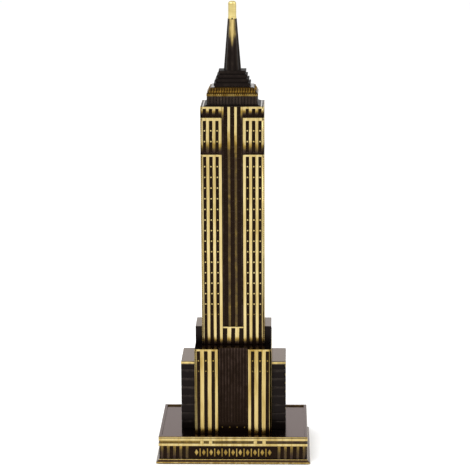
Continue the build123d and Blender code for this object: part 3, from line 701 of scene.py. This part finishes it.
def make_shaft(name, rear):
    """One half of the shaft: three blocks of windows either side of a recess with two slim pilasters."""
    half_x, half_y = shaft_high.x, -shaft_low.y
    middle_top = SHAFT_TOP - TOP_BLOCK
    lower_top = middle_top - MIDDLE_BLOCK
    recess_y = half_y - RECESS_DEPTH
    meshes = []
    # Each block has its foot, top, front and lintel, its spandrels, and the levels where it is dark and bright.
    blocks = ((PODIUM_TOP, lower_top, half_y, LINTEL, [(14, 0.06), (1, 0.16), (2, 0.34)], PODIUM_TOP - 0.3,
               PODIUM_TOP + 3.6),
              (lower_top, middle_top, half_y - BLOCK_STEP, MIDDLE_LINTEL, [(3, 0.04)], lower_top - 0.6,
               lower_top + 6.0),
              (middle_top, SHAFT_TOP, half_y - 2 * BLOCK_STEP, LINTEL, [], middle_top + 0.9, middle_top + 3.4))
    for bottom, top, front, lintel, spandrels, dark, bright in blocks:
        core = front - WINDOW_DEPTH
        side = half_x - WINDOW_DEPTH
        back = min(recess_y, core)
        outline = [(-side, 0.0), (-side, -core), (-RECESS_HALF, -core), (-RECESS_HALF, -back),
                   (RECESS_HALF, -back), (RECESS_HALF, -core), (side, -core), (side, 0.0)]
        group = [prism(outline, bottom, top)]
        for flip in (-1, 1):
            group += window_wall(0, front, RECESS_HALF, half_x, SHAFT_BORDER, SHAFT_BAY, 3, bottom, top,
                                 spandrels, flip, toothed=True, lintel=lintel)
            group += window_wall(90 * flip, half_x, 0.0, front, front - 2.5 * FLANK_BAY - WINDOW_WIDTH / 2,
                                 FLANK_BAY, 3, bottom, top, spandrels, -flip, toothed=True, lintel=lintel)
        meshes += mark(group, front, half_x, dark, bright)
    tall = SHAFT_TOP - PODIUM_TOP
    middle = PODIUM_TOP + tall / 2
    # The strips in the recess are dim up to a level, and brighten from there to the roof.
    for width, pitch, fade, dim, brightest in ((SLIM_WIDTH, SLIM_SPREAD, lower_top + 1.0, 0.4, 1.35),
                                               (EDGE_STRIP, 2 * RECESS_HALF - EDGE_STRIP, middle_top - 1.0, 0.15,
                                                0.85)):
        lower = relief(0, recess_y, 0.0, (PODIUM_TOP + fade) / 2, width, fade - PODIUM_TOP, SLIM_RELIEF - 0.03,
                       columns=2, column_pitch=pitch, rounding=0.8)
        upper = relief(0, recess_y, 0.0, (fade + SHAFT_TOP) / 2 - 0.3, width, SHAFT_TOP - fade + 0.6, SLIM_RELIEF,
                       columns=2, column_pitch=pitch, rounding=0.8)
        for mesh in (lower, upper):
            rub(mesh, [recess_y + SLIM_RELIEF - abs(v.co.y) for v in mesh.vertices],
                [dim + (brightest - dim) * max(0.0, (v.co.z - fade) / (SHAFT_TOP - fade)) for v in mesh.vertices])
            meshes.append(mesh)
    sills = [relief(0, recess_y, 0.0, middle, WINDOW_WIDTH, FLOOR_PITCH - WINDOW_HEIGHT, SILL_RELIEF,
                    columns=3, rows=SILL_ROWS, column_pitch=SLIM_SPREAD - 0.2, row_pitch=FLOOR_PITCH,
                    rounding=0.3)]
    meshes += mark(sills, recess_y + 0.3, half_x, dark=PODIUM_TOP - 20.0, bright=SHAFT_TOP + 420.0)
    bay_top = PODIUM_TOP + BAY_BLOCK
    bay_middle = PODIUM_TOP + BAY_BLOCK / 2
    bay_width = 2 * RECESS_HALF - 0.1
    bay_y = recess_y + BAY_PANEL
    bay = [relief(0, recess_y, 0.0, bay_middle, bay_width, BAY_BLOCK, BAY_PANEL),
           relief(0, bay_y, 0.0, bay_middle, BAY_BAR_WIDTH, BAY_BLOCK, BAY_BAR_RELIEF, columns=2,
                  column_pitch=BAY_BAR_SPREAD, rounding=0.9),
           relief(0, bay_y, 0.0, bay_top - BAY_LINTEL / 2, bay_width, BAY_LINTEL, BAY_BAR_RELIEF - 0.03)]
    meshes += mark(bay, bay_y + BAY_BAR_RELIEF, half_x, dark=PODIUM_TOP - 0.3, bright=PODIUM_TOP + 3.6)
    return piece(name, meshes, [name], mirror_y=rear)


def make_podium(name, rear):
    """One half of the podium: two pavilions of windows beside a fluted, recessed entrance."""
    half_x, half_y = podium_high.x, -podium_low.y
    inner = half_x - PAVILION_WIDTH
    entrance_y = half_y - ENTRANCE_RECESS
    core_x, core_y = half_x - WINDOW_DEPTH, half_y - WINDOW_DEPTH
    outline = [(-core_x, 0.0), (-core_x, -core_y), (-inner, -core_y), (-inner, -entrance_y),
               (inner, -entrance_y), (inner, -core_y), (core_x, -core_y), (core_x, 0.0)]
    walls = [prism(outline, TRAY, PODIUM_TOP)]
    spandrels = [(1, 0.04), (1, 0.08), (6, 0.34)]
    for flip in (-1, 1):
        walls += window_wall(0, half_y, inner, half_x, PODIUM_BORDER, PODIUM_BAY, 3, TRAY, PODIUM_TOP, spandrels,
                             flip)
        walls += window_wall(90 * flip, half_x, 0.0, half_y, PODIUM_BORDER, PODIUM_BAY, 5, TRAY, PODIUM_TOP,
                             spandrels, -flip)
    meshes = mark(walls, half_y + 0.08, half_x + 0.08, dark=TRAY - 2.0, bright=TRAY + 3.0)
    rib_pitch = 2 * inner / ENTRANCE_RIBS
    rib_bottom = TRAY + ENTRANCE_HEIGHT
    ribs = [relief(0, entrance_y, 0.0, (rib_bottom + PODIUM_TOP) / 2, rib_pitch * 0.8, PODIUM_TOP - rib_bottom,
                   0.3, columns=ENTRANCE_RIBS, column_pitch=rib_pitch, rounding=0.6)]
    meshes += mark(ribs, entrance_y + 0.3, half_x, dark=TRAY - 12.0, bright=TRAY + 240.0)
    studs = [relief(0, entrance_y, 0.0, TRAY + ENTRANCE_HEIGHT / 2, 0.6, 0.7, 0.35, columns=4,
                    column_pitch=inner / 2, rounding=0.8)]
    meshes += mark(studs, entrance_y + 0.45, half_x, dark=TRAY - 4.0, bright=TRAY + 5.0)
    return piece(name, meshes, [name], mirror_y=rear)


# ---------------------------------------------------------------- low blocks, crown and mast

def make_wing(name, left):
    """A dark block of shallow ashlar courses on the podium's flank."""
    low, high = wing_low, wing_high
    half_y = high.y
    width = high.x - low.x
    skin = WING_SKIN
    core = prism([(low.x, -half_y + skin), (high.x - skin, -half_y + skin), (high.x - skin, half_y - skin),
                  (low.x, half_y - skin)], low.z, high.z, finish=BRONZED)
    pitch = (high.z - low.z) / WING_COURSES
    meshes = [core]
    centre_x = (low.x + high.x) / 2
    for turn, distance, along, span, columns in ((0, half_y, centre_x, width, 1),
                                                 (180, half_y, -centre_x, width, 1),
                                                 (90, high.x, 0.0, 2 * half_y, 5)):
        length = span / columns
        meshes.append(relief(turn, distance - skin, along, (low.z + high.z) / 2, length - 0.12, pitch - 0.2,
                             skin, finish=BRONZED, columns=columns, rows=WING_COURSES, column_pitch=length,
                             row_pitch=pitch, rounding=0.5))
    # The wheel caught the top of the highest course. Below it, each course is painted a little lighter towards its
    # upper edge: a painted highlight for the sky reflected along the joints.
    for mesh in meshes:
        sinks, rub_and_painted_sheen_values = [], []
        for vertex in mesh.vertices:
            x, y, z = vertex.co
            course = (z - low.z) / pitch % 1.0
            sinks.append(min(high.y - abs(y), high.x - x))
            # painted highlight: each course is lighter towards its upper edge
            rub_and_painted_sheen_values.append((z - high.z + 1.4) / 0.8 if z > high.z - pitch else 0.8 * course - 0.55)
        rub(mesh, sinks, rub_and_painted_sheen_values)
    if not left:  # painted highlights: small bright marks up the outer edge, one per course
        painted_edge_highlights = [relief(turn, half_y - 0.1, side * (high.x - 0.3), (low.z + high.z) / 2, 0.5, pitch * 0.3, 0.1,
                        finish=BRONZED, rows=WING_COURSES, row_pitch=pitch, rounding=0.2, root=0.05)
                 for turn, side in ((0, 1), (180, -1))]
        meshes += mark(painted_edge_highlights, high.y, high.x, dark=low.z - 16.0, bright=high.z + 6.0)
    return piece(name, meshes, [name], mirror_x=left)


def make_terrace(name, left):
    """A small dark block against the shaft's flank."""
    low, high = terrace_low, terrace_high
    block = tower([((high.x - low.x) / 2, high.y, low.z), ((high.x - low.x) / 2, high.y, high.z)],
                  x=(low.x + high.x) / 2, finish=BRONZED, rounding=0.4)
    mark([block], high.y, high.x, dark=high.z - 0.2, bright=high.z + 0.8)
    return piece(name, [block], [name], mirror_x=left)


def make_drum():
    """The dark skirt and drum under the band, with shallow upright flutes."""
    waist_x, waist_y = band_high.x - 0.1, band_high.y - 0.1
    waist = drum_low.z + SKIRT_HEIGHT
    skin = DRUM_SKIN
    meshes = [tower([(drum_high.x, drum_high.y, drum_low.z), (waist_x, waist_y, waist),
                     (waist_x - skin, waist_y - skin, waist), (waist_x - skin, waist_y - skin, drum_high.z)],
                    finish=SOOTED)]
    for turn, length, distance in four_faces(waist_x, waist_y):
        count = int(2 * length / DRUM_FLUTE_PITCH)
        meshes.append(relief(turn, distance - skin, 0.0, (waist + drum_high.z) / 2, DRUM_FLUTE_PITCH * 0.7,
                             drum_high.z - waist, skin, finish=SOOTED, columns=count,
                             column_pitch=DRUM_FLUTE_PITCH, rounding=0.4))
    mark(meshes, waist_y, waist_x, dark=drum_low.z - 6.0, bright=drum_high.z + 18.0)
    return piece("crown_drum", meshes, ["crown_drum"])


def make_band():
    """The embossed band: a beaded edge under a row of upright leaves on the slope."""
    half_x, half_y = band_high.x, band_high.y
    straight = band_high.z - BAND_SLOPE_HEIGHT
    skin = BAND_SKIN
    body = tower([(half_x - skin, half_y - skin, band_low.z), (half_x - skin, half_y - skin, straight),
                  (half_x - BAND_SLOPE - skin, half_y - BAND_SLOPE - skin, band_high.z)], finish=BROWNED)
    edges, leaves = [], []
    tilt = math.atan2(BAND_SLOPE, BAND_SLOPE_HEIGHT)
    for turn, length, distance in four_faces(half_x, half_y):
        edges.append(relief(turn, distance - skin, 0.0, band_low.z + 0.15, 2 * length - 0.2, 0.25, skin,
                            finish=BROWNED, rounding=0.2))
        beads = int(2 * length / BEAD_PITCH)
        edges.append(relief(turn, distance - skin, 0.0, band_low.z + 0.66, 0.46, 0.46, skin, finish=BROWNED,
                            columns=beads, column_pitch=BEAD_PITCH, rounding=0.6))
        count = int((2 * length - BAND_SLOPE) / LEAF_PITCH)
        for height, width, stands in ((1.9, 0.56, skin * 0.5), (1.1, 0.3, skin)):
            row = grow(RELIEF, columns=count, rows=1, column_pitch=LEAF_PITCH, row_pitch=1.0, width=width,
                       height=height, relief=stands, root=ROOT, rounding=0.6, finish=BROWNED)
            row.transform(Matrix.Rotation(-tilt, 4, "X"))
            row.transform(face_matrix(turn, distance - skin - BAND_SLOPE / 2, 0.0,
                                      (straight + band_high.z) / 2))
            leaves.append(row)
    for meshes, sink, rub_and_painted_sheen in (([body], 0.2, 0.45), (edges, 0.0, 0.95), (leaves, 0.08, 0.75)):
        for mesh in meshes:
            rub(mesh, [sink] * len(mesh.vertices), [rub_and_painted_sheen] * len(mesh.vertices))
    return piece("crown_band", [body] + edges + leaves, ["crown_band"])


def make_steps():
    """Four dark steps that carry the mast."""
    height = (steps_high.z - steps_low.z) / STEP_COUNT
    profile = []
    for i in range(STEP_COUNT):
        inset = STEP_SETBACK * i
        foot = steps_low.z + i * height
        for out, z in ((0.3, foot), (0.3, foot + 0.5), (0.0, foot + 0.5), (0.0, foot + height)):
            profile.append((steps_high.x - inset - out, steps_high.y - inset - out, z))
    body = tower(profile, finish=SOOTED, rounding=0.2)
    sinks = []
    for vertex in body.vertices:
        tier = min(int((vertex.co.z - steps_low.z + 0.001) / height), STEP_COUNT - 1)
        sinks.append(steps_high.x - STEP_SETBACK * tier - abs(vertex.co.x))
    rub(body, sinks, [0.1] * len(sinks))
    return piece("crown_steps", [body], ["crown_steps"])


def make_mast():
    """The fluted cone, bright on its upper front and rear."""
    tall = mast_high.z - mast_low.z
    cone = grow(CONE, foot_radius=mast_high.x, shoulder_radius=SHOULDER_RADIUS, height=tall, flutes=MAST_FLUTES,
                flute_depth=MAST_FLUTE_DEPTH, finish=SOOTED)
    cone.transform(Matrix.Translation((0, 0, (mast_low.z + mast_high.z) / 2)))
    # The bright patch starts as a point over a third of the way up, and widens to the shoulder.
    sinks, rub_and_painted_sheen_values = [], []
    for vertex in cone.vertices:
        x, y, z = vertex.co
        up = (z - mast_low.z) / tall
        radius = mast_high.x + (SHOULDER_RADIUS - mast_high.x) * up
        share = min((up - 0.28) / 0.62, 1.0)
        sinks.append((1.15 - share) * (radius - math.hypot(x, y)))
        rub_and_painted_sheen_values.append(max(min(1.6 * share, 1.1) - 1.0 * abs(x) / radius, 0.22))
    rub(cone, sinks, rub_and_painted_sheen_values)
    return piece("mast", [cone], ["mast"], edge=0.0, smooth=True)


def make_tip():
    """The polished brass tip with its rounded end."""
    radius = tip_high.x
    foot, top = mast_high.z, tip_high.z
    # A collar over the cross pin, a fine groove, and a plain shank to the rounded end.
    profile = [(0.01, foot - 0.3), (radius * 0.9, foot - 0.3), (radius, foot + 0.02), (radius, foot + 0.75),
               (radius * 0.94, foot + 0.85), (radius * 0.96, foot + 1.15)]
    for i in range(7):
        angle = math.radians(90 * i / 6)
        profile.append((radius * 0.96 - TIP_ROUNDING * (1 - math.cos(angle)),
                        top - TIP_ROUNDING * (1 - math.sin(angle))))
    profile.append((0.01, top))
    body = turned(profile, TIP_BRASS)
    return piece("mast_tip", [body], ["mast_tip"], edge=0.0, smooth=True)


# ---------------------------------------------------------------- the model

make_plinth()
make_podium("podium_front", rear=False)
make_podium("podium_rear", rear=True)
make_wing("wing_right", left=False)
make_wing("wing_left", left=True)
make_terrace("terrace_right", left=False)
make_terrace("terrace_left", left=True)
make_shaft("shaft_front", rear=False)
make_shaft("shaft_rear", rear=True)
make_drum()
make_band()
make_steps()
make_mast()
make_tip()

for node, finish in (("felt_pad", FELT), ("base_plate", ZINC), ("podium_pins", ZINC), ("wing_pins", ZINC),
                     ("shaft_pins", ZINC), ("tip_pin", PIN_STEEL), ("tie_rod", ZINC), ("rod_washer", ZINC),
                     ("rod_nut", ZINC), ("plinth_screws", ZINC)):
    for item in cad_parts[node].material_slots:
        item.material = finish


# ---------------------------------------------------------------- studio

def make_floor():
    """A wide sheet of paper under the model."""
    mesh = bpy.data.meshes.new("floor")
    half = 6.0
    mesh.from_pydata([(-half, -half, 0), (half, -half, 0), (half, half, 0), (-half, half, 0)], [], [(0, 1, 2, 3)])
    mesh.materials.append(PAPER)
    floor = bpy.data.objects.new("floor", mesh)
    bpy.context.collection.objects.link(floor)


def soft_box(name, place, aim, size, power):
    """A square area light that looks at a point."""
    light = bpy.data.lights.new(name, "AREA")
    light.shape = "SQUARE"
    light.size = size
    light.energy = power
    item = bpy.data.objects.new(name, light)
    item.location = place
    item.rotation_euler = (Vector(place) - Vector(aim)).to_track_quat("Z", "Y").to_euler()
    bpy.context.collection.objects.link(item)


def make_camera():
    """Long lens, a little to the right of the centre line and twelve degrees above."""
    aim = Vector((0.62, 0.0, 86.73)) * MM
    distance = 742.5 * MM
    azimuth, elevation, roll = math.radians(1.605), math.radians(12.54), math.radians(-0.3)
    back = Vector((math.sin(azimuth) * math.cos(elevation), -math.cos(azimuth) * math.cos(elevation),
                   math.sin(elevation)))
    data = bpy.data.cameras.new("camera")
    data.sensor_width = 36.0
    data.lens = 145.5
    data.clip_start = 0.01
    camera = bpy.data.objects.new("camera", data)
    camera.location = aim + back * distance
    camera.rotation_mode = "QUATERNION"
    camera.rotation_quaternion = back.to_track_quat("Z", "Y") @ Quaternion((0, 0, 1), roll)
    bpy.context.collection.objects.link(camera)
    bpy.context.scene.camera = camera


def make_world():
    """Even white light from all round."""
    world = bpy.data.worlds.new("studio")
    world.use_nodes = True
    world.node_tree.nodes.clear()
    sky = add(world.node_tree, "ShaderNodeBackground", {"Color": (1.0, 1.0, 1.0, 1.0), "Strength": 1.05})
    add(world.node_tree, "ShaderNodeOutputWorld", {"Surface": sky.outputs[0]})
    bpy.context.scene.world = world


make_floor()
make_camera()
make_world()
centre = (0.0, 0.0, 0.09)
soft_box("key", (-0.5, -0.5, 0.9), centre, 0.8, 9.0)
soft_box("fill", (0.7, -0.3, 0.6), centre, 0.8, 3.0)
bpy.context.scene.view_settings.view_transform = "Standard"
